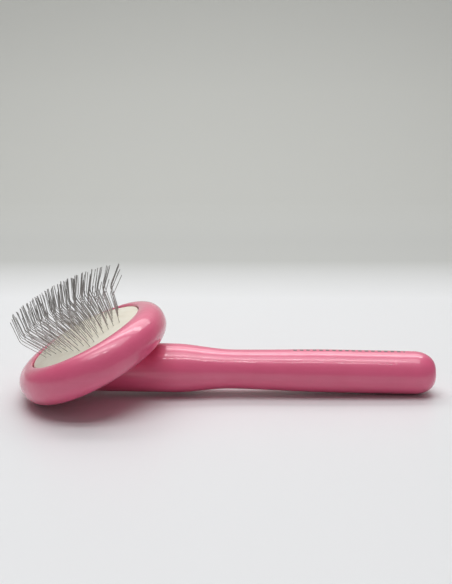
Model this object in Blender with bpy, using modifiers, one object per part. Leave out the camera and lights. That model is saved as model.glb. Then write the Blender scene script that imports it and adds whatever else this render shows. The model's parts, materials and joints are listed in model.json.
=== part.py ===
"""Wooden slicker brush with a long-pin cushioned pad.

A lacquered wooden handle carries an oval dish, tilted so that its front end
and the butt of the handle both rest on the table.  In the dish lies a foam
cushion, and on it the pin pad: a cloth backing and a rubber face, through
which the rows of bent wire pins stand up.  The pad can be pressed into the
dish against the cushion.

Frame: +X runs along the handle to its butt, +Z is up, the table is z = 0.
Units are metres and degrees.  Head coordinates: u points up the tilt to the
handle, v across, n out of the dish, with the zero in the middle of the rim.
"""
import math

import bmesh
import bpy
from mathutils import Matrix, Vector

# Placing
HEAD_X = -0.0644            # middle of the dish
HEAD_TILT = 25.4            # the dish rises this much towards the handle
GAP = 0.0003                # between pieces that touch

# Fineness of the meshes
MERGE = 0.000005            # points this close are one point
SHARP_ANGLE = 35.0          # edges that bend more than this stay sharp
OVAL_POINTS = 52            # points round an oval
ROUND_STEPS = 16            # steps round a screw or a dowel
HANDLE_ROUNDNESS = 8        # bevel resolution of the handle's section
BAR_SECTIONS = 22           # sections between the handle's rounded ends
NOSE_ANGLES = (30, 60, 90)  # sections on the rounding of its nose
BUTT_ANGLES = (20, 38, 54, 68, 80, 90)
DOME_CELLS_ACROSS = 12
DOME_CELLS_ALONG = 8
STRIP_BENDS = 8             # straight stretches in the strip that joins a row
STRIP_ROUNDS = 4            # repeats that settle where a strip lies on the dome

# Dish: a rounded oval plate with a recess
RIM_HALF_LENGTH = 0.0300    # crest of the rim, along u
RIM_HALF_WIDTH = 0.0429     # crest of the rim, along v
RIM_ROUND = 0.00854         # rounding of the rim's outer side
RIM_STRAIGHT = 0.00053      # half height of the straight band in its middle
RIM_CREST = 0.00156         # from the crest to the edge of the recess
FLOOR_THICKNESS = 0.0060    # wood under the recess

# Handle: a tapered oval bar
HANDLE_REACH = 0.1685       # from the middle of the dish to the butt
NOSE_REACH = 0.0120         # the handle's nose lies this far in front of that middle
SHOULDER_RADIUS = 0.0120    # half thickness beside the dish
NECK_RADIUS = 0.0096
GRIP_RADIUS = 0.01055
SHOULDER_END = 0.0390       # distances from the middle of the dish
NECK_PLACE = 0.0680
GRIP_START = 0.1190
HANDLE_OVAL = 1.15          # width over thickness
HANDLE_DROP = 1.2           # slope of its axis down to the butt
BUTT_LENGTH = 0.0105        # length of the butt's rounding
BUTT_ROUND = 0.0070         # and its depth, which leaves a flat end
NOSE_LENGTH = 0.0090        # the same for the nose under the dish
NOSE_ROUND = 0.0070

# What fastens the dish to the handle
SCREW_RADIUS = 0.0020
SCREW_HEAD_RADIUS = 0.0040
SCREW_HEAD_DEPTH = 0.0022
SCREW_SINK = 0.0002         # the head lies this far below the recess floor
SCREW_TIP = 0.0030
SCREW_SLOT_WIDTH = 0.0009
SCREW_SLOT_DEPTH = 0.0009
REAR_SCREW_U = 0.0200
REAR_SCREW_LENGTH = 0.0210
FRONT_SCREW_U = -0.0030
FRONT_SCREW_LENGTH = 0.0135
DOWEL_RADIUS = 0.0030
DOWEL_U = 0.0090
DOWEL_SPREAD = 0.0065       # each dowel lies this far from the middle
DOWEL_IN_DISH = 0.0040
DOWEL_IN_HANDLE = 0.0100
DOWEL_CHAMFER = 0.0006

# Pad and cushion, in layers under the rubber face
PAD_CLEARANCE = 0.0004      # round the pad, in the recess
CUSHION_CLEARANCE = 0.0006
PAD_INSET = 0.0011          # the face's edge lies this far below the rim
PAD_DOME = 0.0060           # its middle stands this far above its edge
FACE_THICKNESS = 0.0013
CLOTH_THICKNESS = 0.0012
STAPLE_RADIUS = 0.00042     # half diagonal of the strip that joins a row
SLAB_OVER_LENGTH = 1.35      # a layer's blank over the recess it is cut for
SLAB_OVER_WIDTH = 1.12

# Pins
ROW_PITCH = 0.0028
PIN_PITCH = 0.0060          # along a row; rows are staggered by half of it
PIN_RADIUS = 0.000175
FIELD_TURN = 7.0            # the rows run this much aslant
FIELD_OFFSET = -0.00075     # middle of the field, along u
FIELD_END_MARGIN = 0.00514  # from the recess's end to the oval that ends the rows
FIELD_SIDE_MARGIN = 0.00434
FIELD_FILL = 0.87           # of the field's length, that rows take up
LOWER_LEG = 0.0131          # from the face to the knee
UPPER_LEG = 0.0111
KNEE_BEND = 37.0
LEAN_MIDDLE = 17.0          # lean to the front end in the middle row
LEAN_SPREAD = 22.0          # lean gained from there to the first row
LEAN_ROUNDING = 5.0         # lean lost in the outer rows
SIDE_FAN = 8.0              # outward lean at the ends of the longest row
SLOT_WIDTH = 0.0010
SLOT_MARGIN = 0.0010        # slot beyond the last pin
STRIP_MARGIN = 0.0006       # strip beyond the last pin

# Worked out from the above
RIM_HEIGHT = RIM_ROUND + RIM_STRAIGHT
RECESS_HALF_LENGTH = RIM_HALF_LENGTH - RIM_CREST
RECESS_HALF_WIDTH = RIM_HALF_WIDTH - RIM_CREST
RECESS_FLOOR = FLOOR_THICKNESS - RIM_HEIGHT
FIELD_HALF_LENGTH = RECESS_HALF_LENGTH - FIELD_END_MARGIN
FIELD_HALF_WIDTH = RECESS_HALF_WIDTH - FIELD_SIDE_MARGIN
PIN_ROWS = 1 + 2 * int(FIELD_FILL * FIELD_HALF_LENGTH / ROW_PITCH)
TILT = math.radians(HEAD_TILT)
DROP = math.tan(math.radians(HANDLE_DROP))
HEAD_Z = RIM_HALF_LENGTH * math.sin(TILT) + RIM_ROUND + RIM_STRAIGHT * math.cos(TILT)
BUTT_START = HANDLE_REACH - BUTT_LENGTH
FACE_EDGE = RIM_HEIGHT - PAD_INSET
CLOTH_EDGE = FACE_EDGE - FACE_THICKNESS - GAP
STAPLE_EDGE = CLOTH_EDGE - CLOTH_THICKNESS - GAP - STAPLE_RADIUS
CUSHION_EDGE = STAPLE_EDGE - STAPLE_RADIUS - GAP
STAPLE_DEPTH = FACE_EDGE - STAPLE_EDGE
CUTTER_HALF_HEIGHT = 3 * RIM_HEIGHT     # enough to pass right through the dish


# Scene and materials

def clear_scene():
    """Remove what the file holds."""
    for item in list(bpy.data.objects):
        bpy.data.objects.remove(item, do_unlink=True)


def make_collection(name):
    """A new collection linked to the scene."""
    collection = bpy.data.collections.new(name)
    bpy.context.scene.collection.children.link(collection)
    return collection


def make_material(name, colour, roughness, metallic=0.0, coat=0.0):
    """A plain Principled material."""
    material = bpy.data.materials.new(name)
    material.use_nodes = True
    shader = material.node_tree.nodes["Principled BSDF"]
    shader.inputs["Base Color"].default_value = (*colour, 1.0)
    shader.inputs["Roughness"].default_value = roughness
    shader.inputs["Metallic"].default_value = metallic
    shader.inputs["Coat Weight"].default_value = coat
    material.diffuse_color = (*colour, 1.0)
    return material


def make_empty(name, collection, parent=None, location=(0, 0, 0), rotation=(0, 0, 0)):
    """An empty that places what is parented to it."""
    empty = bpy.data.objects.new(name, None)
    collection.objects.link(empty)
    empty.parent = parent
    empty.location = location
    empty.rotation_euler = rotation
    return empty


def add_object(name, data, collection, parent=None):
    """Link an object for this data and hang it on its parent."""
    item = bpy.data.objects.new(name, data)
    collection.objects.link(item)
    item.parent = parent
    return item


def as_cutter(item):
    """Show an object as a wire guide that the render leaves out."""
    item.hide_render = True
    item.display_type = "WIRE"
    return item


def as_part(item, material):
    """Give a finished object its material and smooth shading with sharp edges."""
    item.data.materials.clear()
    item.data.materials.append(material)
    item.data.shade_smooth()
    item.data.set_sharp_from_angle(angle=math.radians(SHARP_ANGLE))
    return item


def boolean(item, other, operation="DIFFERENCE"):
    """Cut, join or clip an object with another."""
    modifier = item.modifiers.new(operation.lower(), "BOOLEAN")
    modifier.operation = operation
    modifier.solver = "EXACT"
    modifier.object = other
    return modifier


def curve_to_mesh(curve_object, stretch=(1, 1, 1)):
    """Turn a curve object into a mesh object with welded caps."""
    bpy.context.view_layer.update()
    evaluated = curve_object.evaluated_get(bpy.context.evaluated_depsgraph_get())
    mesh = bpy.data.meshes.new_from_object(evaluated)
    mesh.transform(Matrix.Diagonal((*stretch, 1)))
    shape = bmesh.new()
    shape.from_mesh(mesh)
    bmesh.ops.remove_doubles(shape, verts=shape.verts, dist=MERGE)
    bmesh.ops.recalc_face_normals(shape, faces=shape.faces)
    shape.to_mesh(mesh)
    shape.free()
    name, collection, parent = curve_object.name, curve_object.users_collection[0], curve_object.parent
    local = curve_object.matrix_local.copy()
    bpy.data.objects.remove(curve_object, do_unlink=True)
    item = add_object(name, mesh, collection, parent)
    item.matrix_local = local
    return item


# Shapes that several pieces share

def oval_plate(name, half_length, half_width, half_height, collection, parent, rounding=0.0):
    """A flat oval plate; with a rounding its side bulges out by that much."""
    curve = bpy.data.curves.new(name, "CURVE")
    curve.dimensions = "2D"
    curve.fill_mode = "BOTH"
    curve.extrude = half_height - rounding
    curve.bevel_depth = rounding
    curve.bevel_resolution = 3
    spline = curve.splines.new("POLY")
    spline.points.add(OVAL_POINTS - 1)
    for index, point in enumerate(spline.points):
        angle = 2 * math.pi * index / OVAL_POINTS
        point.co = (half_length * math.cos(angle), half_width * math.sin(angle), 0, 1)
    spline.use_cyclic_u = True
    return curve_to_mesh(add_object(name, curve, collection, parent))


def turned(name, profile, collection, parent, location):
    """Turn a profile of (radius, height) points, given from top to bottom, about Z."""
    mesh = bpy.data.meshes.new(name)
    points = [(radius, 0, height) for radius, height in profile]
    mesh.from_pydata(points, [(i, i + 1) for i in range(len(points) - 1)], [])
    item = add_object(name, mesh, collection, parent)
    item.location = location
    screw = item.modifiers.new("turn", "SCREW")
    screw.axis = "Z"
    screw.steps = ROUND_STEPS
    screw.render_steps = ROUND_STEPS
    screw.use_merge_vertices = True
    screw.merge_threshold = MERGE
    return item


def box(name, size, centre, collection, parent):
    """A box of this size about this centre."""
    shape = bmesh.new()
    bmesh.ops.create_cube(shape, size=1.0, matrix=Matrix.Diagonal((*size, 1)))
    mesh = bpy.data.meshes.new(name)
    shape.to_mesh(mesh)
    shape.free()
    item = add_object(name, mesh, collection, parent)
    item.location = centre
    return item


def dome_height(u, v):
    """Height of the pad's dome over its edge; nothing at the oval of the recess."""
    return PAD_DOME * (1 - (u / RECESS_HALF_LENGTH) ** 2 - (v / RECESS_HALF_WIDTH) ** 2)


def domed_slab(name, edge, collection, parent, thickness=None, bottom=None):
    """A slab whose top follows the dome, its underside parallel or flat.

    Its cells lie along the pin rows, so that the slots cut few of them.  Its
    corners, which an oval outline takes off later, stop falling away early.
    """
    half_length = SLAB_OVER_LENGTH * RECESS_HALF_LENGTH
    half_width = SLAB_OVER_WIDTH * RECESS_HALF_WIDTH
    turn = Matrix.Rotation(math.radians(FIELD_TURN), 4, "Z")
    shape = bmesh.new()
    bmesh.ops.create_grid(shape, x_segments=DOME_CELLS_ACROSS, y_segments=DOME_CELLS_ALONG, size=1.0,
                          matrix=turn @ Matrix.Diagonal((half_length, half_width, 1, 1)))
    for vert in shape.verts:
        vert.co.z = edge + max(dome_height(vert.co.x, vert.co.y), -PAD_DOME / 2)
    made = bmesh.ops.extrude_face_region(shape, geom=list(shape.faces))
    for vert in (piece for piece in made["geom"] if isinstance(piece, bmesh.types.BMVert)):
        vert.co.z = bottom if thickness is None else vert.co.z - thickness
    bmesh.ops.recalc_face_normals(shape, faces=shape.faces)
    mesh = bpy.data.meshes.new(name)
    shape.to_mesh(mesh)
    shape.free()
    return add_object(name, mesh, collection, parent)


# Wooden body

def handle_axis_height(distance):
    """Height of the handle's axis this far from the middle of the dish."""
    return GRIP_RADIUS + (BUTT_START - distance) * DROP


def eased(start, end, share):
    """A value that leaves start and reaches end without a kink."""
    return start + (end - start) * (3 * share ** 2 - 2 * share ** 3)


def handle_radius(distance):
    """Half thickness of the handle this far from the middle of the dish."""
    if distance < SHOULDER_END:
        radius = SHOULDER_RADIUS
    elif distance < NECK_PLACE:
        radius = eased(SHOULDER_RADIUS, NECK_RADIUS, (distance - SHOULDER_END) / (NECK_PLACE - SHOULDER_END))
    elif distance < GRIP_START:
        radius = eased(NECK_RADIUS, GRIP_RADIUS, (distance - NECK_PLACE) / (GRIP_START - NECK_PLACE))
    else:
        radius = GRIP_RADIUS
    into_butt = max(0.0, distance - BUTT_START) / BUTT_LENGTH
    into_nose = max(0.0, NOSE_LENGTH - NOSE_REACH - distance) / NOSE_LENGTH
    radius -= BUTT_ROUND * (1 - math.sqrt(max(0.0, 1 - into_butt ** 2)))
    return radius - NOSE_ROUND * (1 - math.sqrt(max(0.0, 1 - into_nose ** 2)))


def handle_stations():
    """Distances of the handle's sections, close together on its rounded ends."""
    nose = [-NOSE_REACH + NOSE_LENGTH * (1 - math.cos(math.radians(angle))) for angle in NOSE_ANGLES]
    bar_length = BUTT_START - nose[-1]
    bar = [nose[-1] + bar_length * i / BAR_SECTIONS for i in range(1, BAR_SECTIONS + 1)]
    butt = [BUTT_START + BUTT_LENGTH * math.sin(math.radians(angle)) for angle in BUTT_ANGLES]
    return nose + bar + butt


def make_handle(parts, cutters, frame):
    """The handle: a bar with an inclined seat for the dish and holes for its fasteners."""
    curve = bpy.data.curves.new("handle", "CURVE")
    curve.dimensions = "3D"
    curve.bevel_depth = 1.0
    curve.bevel_resolution = HANDLE_ROUNDNESS
    curve.use_fill_caps = True
    stations = handle_stations()
    spline = curve.splines.new("POLY")
    spline.points.add(len(stations) - 1)
    for point, distance in zip(spline.points, stations):
        point.co = (HEAD_X + distance, 0, handle_axis_height(distance), 1)
        point.radius = handle_radius(distance)
    handle = curve_to_mesh(add_object("handle", curve, parts), stretch=(1, HANDLE_OVAL, 1))
    over = 4 * RIM_HALF_WIDTH
    seat = box("seat_cutter", (over, over, over), (0, 0, over / 2 - RIM_HEIGHT - GAP), cutters, frame)
    boolean(handle, as_cutter(seat))
    return handle


def make_dish(parts, cutters, frame):
    """The oval dish, a rounded plate with the recess cut into it."""
    dish = oval_plate("head_dish", RIM_HALF_LENGTH, RIM_HALF_WIDTH, RIM_HEIGHT, parts, frame, RIM_ROUND)
    recess = oval_plate("recess_cutter", RECESS_HALF_LENGTH, RECESS_HALF_WIDTH, RIM_HEIGHT, cutters, frame)
    recess.location.z = RECESS_FLOOR + RIM_HEIGHT
    boolean(dish, as_cutter(recess))
    return dish


# Fasteners, each with the hole that it needs

def screw_profile(length, clearance=0.0):
    """Outline of a countersunk screw, from its head's top down, or of its hole."""
    top = RECESS_FLOOR - SCREW_SINK
    head, shank = SCREW_HEAD_RADIUS + clearance, SCREW_RADIUS + clearance
    start = RECESS_FLOOR + RIM_HEIGHT if clearance else top
    return [(0, start), (head, start), (head, top), (shank, top - SCREW_HEAD_DEPTH - clearance),
            (shank, top - length + SCREW_TIP), (0, top - length - 2 * clearance)]


def make_screw(name, place, length, parts, cutters, frame, hosts):
    """A countersunk wood screw from the recess into the handle."""
    outline = screw_profile(length)
    screw = turned(name, [outline[0]] + outline[2:], parts, frame, (place, 0, 0))
    hole = turned(name + "_hole", screw_profile(length, GAP), cutters, frame, (place, 0, 0))
    for host in hosts:
        boolean(host, as_cutter(hole))
    slot = box(name + "_slot", (SCREW_SLOT_WIDTH, 3 * SCREW_HEAD_RADIUS, 2 * SCREW_SLOT_DEPTH),
               (place, 0, RECESS_FLOOR - SCREW_SINK), cutters, frame)
    boolean(screw, as_cutter(slot))
    return screw


def make_dowel(name, side, parts, cutters, frame, hosts):
    """A glued dowel that keeps the dish from turning on the handle."""
    top = -RIM_HEIGHT + DOWEL_IN_DISH
    bottom = -RIM_HEIGHT - DOWEL_IN_HANDLE
    neck = DOWEL_RADIUS - DOWEL_CHAMFER
    place = (DOWEL_U, side * DOWEL_SPREAD, 0)
    profile = [(0, top), (neck, top), (DOWEL_RADIUS, top - DOWEL_CHAMFER),
               (DOWEL_RADIUS, bottom + DOWEL_CHAMFER), (neck, bottom), (0, bottom)]
    dowel = turned(name, profile, parts, frame, place)
    wide = DOWEL_RADIUS + GAP
    hole_profile = [(0, top + GAP), (wide, top + GAP), (wide, bottom - GAP), (0, bottom - GAP)]
    hole = turned(name + "_hole", hole_profile, cutters, frame, place)
    for host in hosts:
        boolean(host, as_cutter(hole))
    return dowel


# Pin pad

def make_pad_layer(name, edge, thickness, parts, cutters, moving, outline, slots):
    """One pierced layer of the pad: a domed slab cut to the oval, with a slot for each row."""
    layer = domed_slab(name, edge, parts, moving, thickness=thickness)
    boolean(layer, outline, "INTERSECT")
    boolean(layer, slots)
    return layer


def make_cushion(parts, cutters, frame):
    """The foam that fills the recess under the pad."""
    cushion = domed_slab("cushion", CUSHION_EDGE, parts, frame, bottom=RECESS_FLOOR + GAP)
    outline = oval_plate("cushion_outline", RECESS_HALF_LENGTH - CUSHION_CLEARANCE,
                         RECESS_HALF_WIDTH - CUSHION_CLEARANCE, CUTTER_HALF_HEIGHT, cutters, frame)
    boolean(cushion, as_cutter(outline), "INTERSECT")
    return cushion


def row_place(row):
    """Place where a row comes out of the face, across the field from its middle."""
    return (row - (PIN_ROWS - 1) / 2) * ROW_PITCH


def row_half(row):
    """Half length of a row, where the field's oval ends it."""
    return FIELD_HALF_WIDTH * math.sqrt(1 - (row_place(row) / FIELD_HALF_LENGTH) ** 2)


def row_lean(row):
    """Lean of a row's wires to the front end, in radians."""
    share = row_place(row) / row_place(PIN_ROWS - 1)
    return math.radians(LEAN_MIDDLE - LEAN_SPREAD * share - LEAN_ROUNDING * share ** 2)


def staple_height(across, along):
    """Height of the strips under the cloth, at a place given along and across the rows."""
    turn = math.radians(FIELD_TURN)
    u = across * math.cos(turn) - along * math.sin(turn)
    v = across * math.sin(turn) + along * math.cos(turn)
    return STAPLE_EDGE + dome_height(u, v)


def row_point(row, along):
    """Point of a row's strip, in the row's own leaning plane and under the cloth.

    The plane fixes how far the point moves across as the dome falls away, and
    the dome fixes its height there, so the two are met by repeating both.
    """
    middle = FIELD_OFFSET + row_place(row) + STAPLE_DEPTH * math.tan(row_lean(row))
    top = staple_height(middle, 0)
    across = middle
    for _ in range(STRIP_ROUNDS):
        across = middle - math.tan(row_lean(row)) * (staple_height(across, along) - top)
    return Vector((across, along, staple_height(across, along)))


def pin_places(row):
    """Places of a row's pins along it; every second row is shifted by half a pitch."""
    shift = PIN_PITCH / 2 if row % 2 else 0.0
    count = int((row_half(row) - shift) // PIN_PITCH)
    start = -count - row % 2
    return [shift + PIN_PITCH * i for i in range(start, count + 1)]


def pin_points(row, along):
    """A pin's three points: in the strip, at the knee and at the tip."""
    lean = row_lean(row)
    fan = math.radians(SIDE_FAN) * along / FIELD_HALF_WIDTH
    base = row_point(row, along)
    lower = Vector((-math.sin(lean), math.sin(fan), math.cos(lean) * math.cos(fan)))
    upper_lean = lean - math.radians(KNEE_BEND)
    upper = Vector((-math.sin(upper_lean), math.sin(fan), math.cos(upper_lean) * math.cos(fan)))
    buried = STAPLE_DEPTH / math.cos(lean)
    knee = base + lower * (LOWER_LEG + buried)
    return [base, knee, knee + upper * UPPER_LEG]


def wires(name, routes, radius, collection, parent):
    """Square wires along these routes, as one mesh."""
    curve = bpy.data.curves.new(name, "CURVE")
    curve.dimensions = "3D"
    curve.bevel_depth = radius
    curve.bevel_resolution = 0
    curve.use_fill_caps = True
    for route in routes:
        spline = curve.splines.new("POLY")
        spline.points.add(len(route) - 1)
        for point, place in zip(spline.points, route):
            point.co = (*place, 1)
    return curve_to_mesh(add_object(name, curve, collection, parent))


def make_pin_row(row, parts, cutters, field):
    """One row of bent wires, joined by the strip that stands for its staples."""
    reach = pin_places(row)[-1] + STRIP_MARGIN
    start = pin_places(row)[0] - STRIP_MARGIN
    route = [row_point(row, start + (reach - start) * i / STRIP_BENDS) for i in range(STRIP_BENDS + 1)]
    strip = wires(f"pin_row_{row + 1:02d}", [route], STAPLE_RADIUS, parts, field)
    pins = wires(f"pins_{row + 1:02d}", [pin_points(row, q) for q in pin_places(row)], PIN_RADIUS,
                 cutters, field)
    boolean(strip, as_cutter(pins), "UNION")
    return strip


def make_slot_cutter(cutters, field):
    """The slots of all rows, each one leaning with its wires."""
    shape = bmesh.new()
    for row in range(PIN_ROWS):
        size = (SLOT_WIDTH, 2 * (row_half(row) + SLOT_MARGIN), 3 * PAD_DOME)
        turn = Matrix.Rotation(-row_lean(row), 4, "Y")
        place = Matrix.Translation(row_point(row, 0))
        bmesh.ops.create_cube(shape, size=1.0, matrix=place @ turn @ Matrix.Diagonal((*size, 1)))
    mesh = bpy.data.meshes.new("slot_cutter")
    shape.to_mesh(mesh)
    shape.free()
    return as_cutter(add_object("slot_cutter", mesh, cutters, field))


def main():
    """Build the brush."""
    clear_scene()
    parts = make_collection("slicker_brush")
    cutters = make_collection("cutters")
    lacquer = make_material("pink_lacquer", (0.62, 0.10, 0.20), 0.22, coat=0.6)
    steel = make_material("pin_steel", (0.42, 0.41, 0.40), 0.32, metallic=1.0)
    zinc = make_material("screw_zinc", (0.62, 0.60, 0.55), 0.35, metallic=1.0)
    beech = make_material("dowel_beech", (0.62, 0.44, 0.28), 0.65)
    rubber = make_material("pad_rubber", (0.78, 0.72, 0.60), 0.60)
    cotton = make_material("pad_cotton", (0.66, 0.62, 0.54), 0.90)
    foam = make_material("cushion_foam", (0.80, 0.76, 0.66), 0.95)

    frame = make_empty("head_frame", parts, None, (HEAD_X, 0, HEAD_Z), (0, -TILT, 0))
    moving = make_empty("pad_slide", parts, frame)
    field = make_empty("pin_field", parts, moving, (0, 0, 0), (0, 0, math.radians(FIELD_TURN)))

    wood = [make_handle(parts, cutters, frame), make_dish(parts, cutters, frame)]
    screws = [
        make_screw("head_screw_rear", REAR_SCREW_U, REAR_SCREW_LENGTH, parts, cutters, frame, wood),
        make_screw("head_screw_front", FRONT_SCREW_U, FRONT_SCREW_LENGTH, parts, cutters, frame, wood),
    ]
    dowels = [
        make_dowel("head_dowel_left", 1, parts, cutters, frame, wood),
        make_dowel("head_dowel_right", -1, parts, cutters, frame, wood),
    ]
    cushion = make_cushion(parts, cutters, frame)

    outline = oval_plate("pad_outline", RECESS_HALF_LENGTH - PAD_CLEARANCE,
                         RECESS_HALF_WIDTH - PAD_CLEARANCE, CUTTER_HALF_HEIGHT, cutters, moving)
    as_cutter(outline)
    slots = make_slot_cutter(cutters, field)
    face = make_pad_layer("pad_face", FACE_EDGE, FACE_THICKNESS, parts, cutters, moving, outline, slots)
    cloth = make_pad_layer("pad_cloth", CLOTH_EDGE, CLOTH_THICKNESS, parts, cutters, moving, outline, slots)
    rows = [make_pin_row(row, parts, cutters, field) for row in range(PIN_ROWS)]

    finishes = [(wood, lacquer), (screws, zinc), (dowels, beech), ([cushion], foam),
                ([face], rubber), ([cloth], cotton), (rows, steel)]
    for pieces, material in finishes:
        for piece in pieces:
            as_part(piece, material)


main()
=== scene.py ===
"""Looks of a lacquered wooden slicker brush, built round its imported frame.

The frame gives every piece its place.  The wood, the pad, its cushion and the
rows of wire staples are surfaces worked out with numpy; the screws and dowels
inside the wood keep their own solids and get a finish.

Head coordinates: u points up the tilt to the handle, v across the dish and n
out of it, with the zero in the middle of the dish.  Lengths are in metres.
"""
import json
import logging
import math
from dataclasses import dataclass, field
from enum import Enum

import bpy
import numpy as np
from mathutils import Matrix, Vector


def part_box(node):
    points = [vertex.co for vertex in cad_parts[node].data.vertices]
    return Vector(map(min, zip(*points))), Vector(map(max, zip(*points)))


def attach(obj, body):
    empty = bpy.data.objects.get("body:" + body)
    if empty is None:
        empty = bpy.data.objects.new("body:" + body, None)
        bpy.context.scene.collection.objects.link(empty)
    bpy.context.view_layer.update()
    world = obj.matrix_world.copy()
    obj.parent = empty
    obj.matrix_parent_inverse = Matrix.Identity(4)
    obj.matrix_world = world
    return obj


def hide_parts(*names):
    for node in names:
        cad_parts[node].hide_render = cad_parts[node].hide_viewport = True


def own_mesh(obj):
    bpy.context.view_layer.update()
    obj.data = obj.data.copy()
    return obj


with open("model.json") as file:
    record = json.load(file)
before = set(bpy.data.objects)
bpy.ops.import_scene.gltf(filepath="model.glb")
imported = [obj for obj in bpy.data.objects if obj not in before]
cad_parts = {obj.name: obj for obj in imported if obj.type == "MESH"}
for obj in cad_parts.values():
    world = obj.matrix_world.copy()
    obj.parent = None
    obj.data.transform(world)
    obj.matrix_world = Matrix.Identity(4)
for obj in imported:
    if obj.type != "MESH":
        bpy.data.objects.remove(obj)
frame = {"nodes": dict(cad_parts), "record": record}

LOG = logging.getLogger("slicker_brush")
Array = np.ndarray
Colour = tuple[float, float, float]
Faces = list[list[int]]
Object = bpy.types.Object
Material = bpy.types.Material
Socket = bpy.types.NodeSocket

BRUSH_BODY = "brush_body"
PAD_BODY = "pin_pad"
GAP = 0.0003                # between pieces that touch
FULL_TURN = 2.0 * math.pi


class Slot(Enum):
    """The record's material slots."""

    LACQUER = "pink_lacquer"
    STEEL = "pin_steel"
    ZINC = "screw_zinc"
    BEECH = "dowel_beech"
    RUBBER = "pad_rubber"
    COTTON = "pad_cotton"
    FOAM = "cushion_foam"


# Surfaces

def spread(start: float, end: float, count: int) -> Array:
    """Evenly spaced numbers from start to end, both included."""
    return np.linspace(start, end, count)


def eased(share: Array) -> Array:
    """3 s squared less 2 s cubed: from 0 to 1 without a kink at either end."""
    share = np.clip(share, 0.0, 1.0)
    return 3.0 * share ** 2 - 2.0 * share ** 3


def oval_rings(half_u: Array, half_v: Array, outward: Array, sectors: int) -> tuple[Array, Array]:
    """Rings of points round an oval.

    At angle t a ring passes through (half_u cos t, half_v sin t), moved outward
    along the oval's normal, which points along (half_v cos t, half_u sin t).

    Args:
        half_u: half length of each ring's oval.
        half_v: half width of each ring's oval.
        outward: how far each ring lies outside its oval.
        sectors: points in a ring.

    Returns:
        u and v, each with a row for a ring.
    """
    angle = np.arange(sectors) * FULL_TURN / sectors
    cosine, sine = np.cos(angle)[None, :], np.sin(angle)[None, :]
    half_u, half_v, outward = (np.asarray(a, float)[:, None] for a in (half_u, half_v, outward))
    normal_u, normal_v = half_v * cosine, half_u * sine
    length = np.maximum(np.hypot(normal_u, normal_v), 1e-12)
    return (half_u * cosine + outward * normal_u / length,
            half_v * sine + outward * normal_v / length)


def loft_faces(rings: int, sectors: int, start: int = 0) -> Faces:
    """Quads between closed rings of points, numbered ring by ring.

    Ring i's point j joins its neighbour j + 1 and the same two of ring i + 1.

    Args:
        rings: how many rings.
        sectors: points in a ring.
        start: number of the first point.

    Returns:
        The quads.
    """
    here = start + np.arange((rings - 1) * sectors).reshape(rings - 1, sectors)
    beside = np.roll(here, -1, axis=1)
    return np.stack([here, beside, beside + sectors, here + sectors], axis=-1).reshape(-1, 4).tolist()


def closed_loft(rings: Array, first: Array, last: Array) -> tuple[Array, Faces]:
    """A closed skin: rings of points with a fan of triangles at either end.

    Args:
        rings: points, as (ring, sector, axis).
        first: the point that closes the first ring.
        last: the point that closes the last ring.

    Returns:
        Points and faces.
    """
    count, sectors = rings.shape[:2]
    points = np.vstack([rings.reshape(-1, 3), first, last])
    ring = np.arange(sectors)
    beside = np.roll(ring, -1)
    pole = count * sectors
    end = pole - sectors
    start_fan = np.stack([beside, ring, np.full(sectors, pole)], axis=-1).tolist()
    end_fan = np.stack([end + ring, end + beside, np.full(sectors, pole + 1)], axis=-1).tolist()
    return points, loft_faces(count, sectors) + start_fan + end_fan


def unit(vectors: Array) -> Array:
    """Vectors over their own length."""
    return vectors / np.maximum(np.linalg.norm(vectors, axis=-1, keepdims=True), 1e-12)


def tubes(paths: Array, radii: Array, sides: int) -> tuple[Array, Faces]:
    """Round wires along many paths of equally many points.

    A ring stands at each point, square to the path's direction there.  Its
    first spoke is carried from point to point: the last spoke less its share
    along the new direction.

    Args:
        paths: points, as (wire, station, axis).
        radii: radius at each station.
        sides: points in a ring.

    Returns:
        Points and faces of all the wires.
    """
    wires, stations = paths.shape[:2]
    step = unit(np.diff(paths, axis=1))
    direction = np.concatenate([step[:, :1], unit(step[:, :-1] + step[:, 1:]), step[:, -1:]], axis=1)
    spoke = np.empty_like(paths)
    last = np.broadcast_to(np.array([1.0, 0.0, 0.0]), (wires, 3))
    for station in range(stations):
        ahead = direction[:, station]
        last = unit(last - ahead * np.sum(last * ahead, axis=-1, keepdims=True))
        spoke[:, station] = last
    other = np.cross(direction, spoke)
    angle = np.arange(sides) * FULL_TURN / sides
    rings = (paths[:, :, None, :]
             + radii[None, :, None, None] * (spoke[:, :, None, :] * np.cos(angle)[:, None]
                                             + other[:, :, None, :] * np.sin(angle)[:, None]))
    faces: Faces = []
    for wire in range(wires):
        start = wire * stations * sides
        faces += loft_faces(stations, sides, start)
        faces.append(list(range(start + sides - 1, start - 1, -1)))
        faces.append(list(range(start + (stations - 1) * sides, start + stations * sides)))
    return rings.reshape(-1, 3), faces


def enclosed_volume(points: Array, faces: Faces) -> float:
    """Volume inside a closed skin, summed over the fans of its faces.

    Args:
        points: the skin's points.
        faces: its faces.

    Returns:
        The volume, less than 0 if the skin is inside out.
    """
    total = 0.0
    for size in {len(face) for face in faces}:
        group = np.array([face for face in faces if len(face) == size])
        for corner in range(1, size - 1):
            a, b, c = points[group[:, 0]], points[group[:, corner]], points[group[:, corner + 1]]
            total += float(np.sum(a * np.cross(b, c)))
    return total / 6.0


def link(item: Object) -> None:
    """Put an object in the scene."""
    bpy.context.scene.collection.objects.link(item)


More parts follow.
